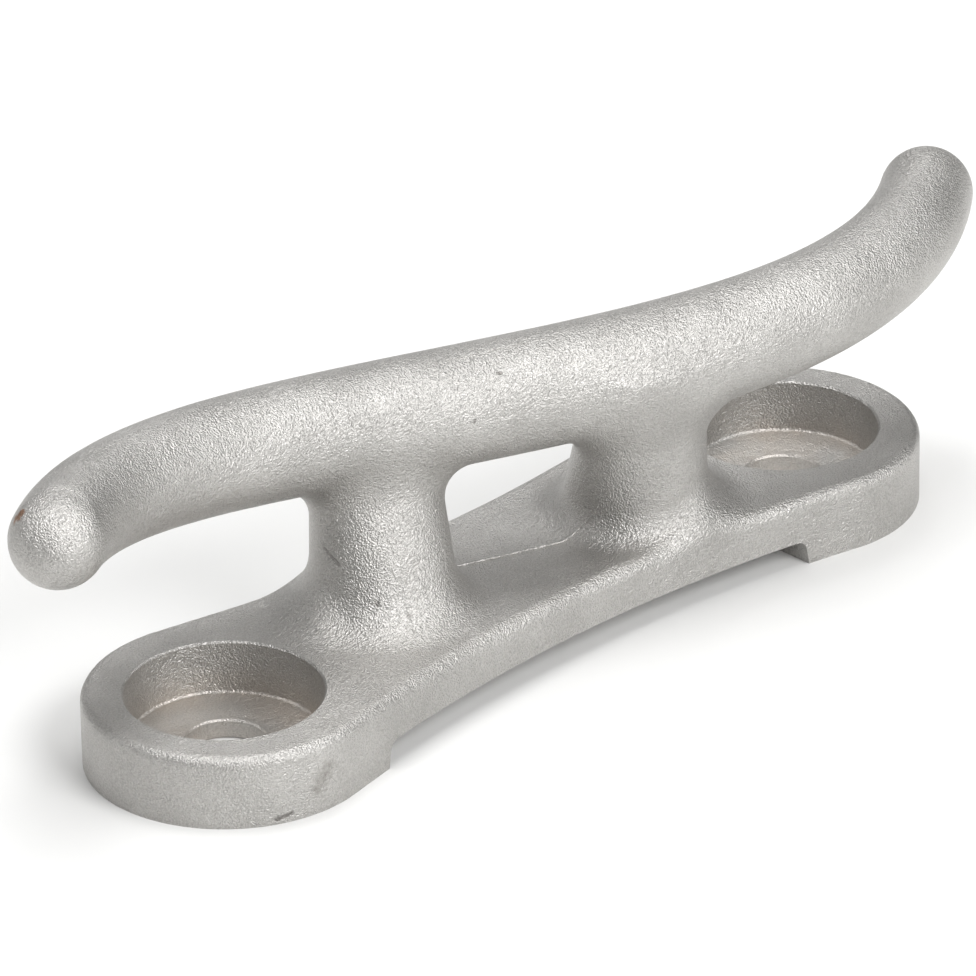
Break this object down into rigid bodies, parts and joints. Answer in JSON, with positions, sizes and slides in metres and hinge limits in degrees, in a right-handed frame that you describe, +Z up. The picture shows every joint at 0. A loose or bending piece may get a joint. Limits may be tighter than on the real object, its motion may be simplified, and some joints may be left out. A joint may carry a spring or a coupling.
{
  "type": "cleat horn",
  "caption": "S-shaped mooring cleat in blasted cast stainless steel, with a round tapering horn on flared posts over a waisted base with counterbored bolt feet.",
  "frame": {"origin": "on the deck plane under the two feet, midway between the two bolt axes", "axes": "+X along the base from bolt to bolt, +Z up from the deck, +Y across the base so that the horn's +X half sweeps towards -Y and its tip curls back towards +Y"},
  "size_m": [0.2, 0.0504, 0.0557],
  "materials": {
    "cast_stainless": "bead-blasted as-cast skin, satin"
  },
  "bodies": {
    "root": {"cleat_casting": "cast_stainless"}
  },
  "joints": []
}
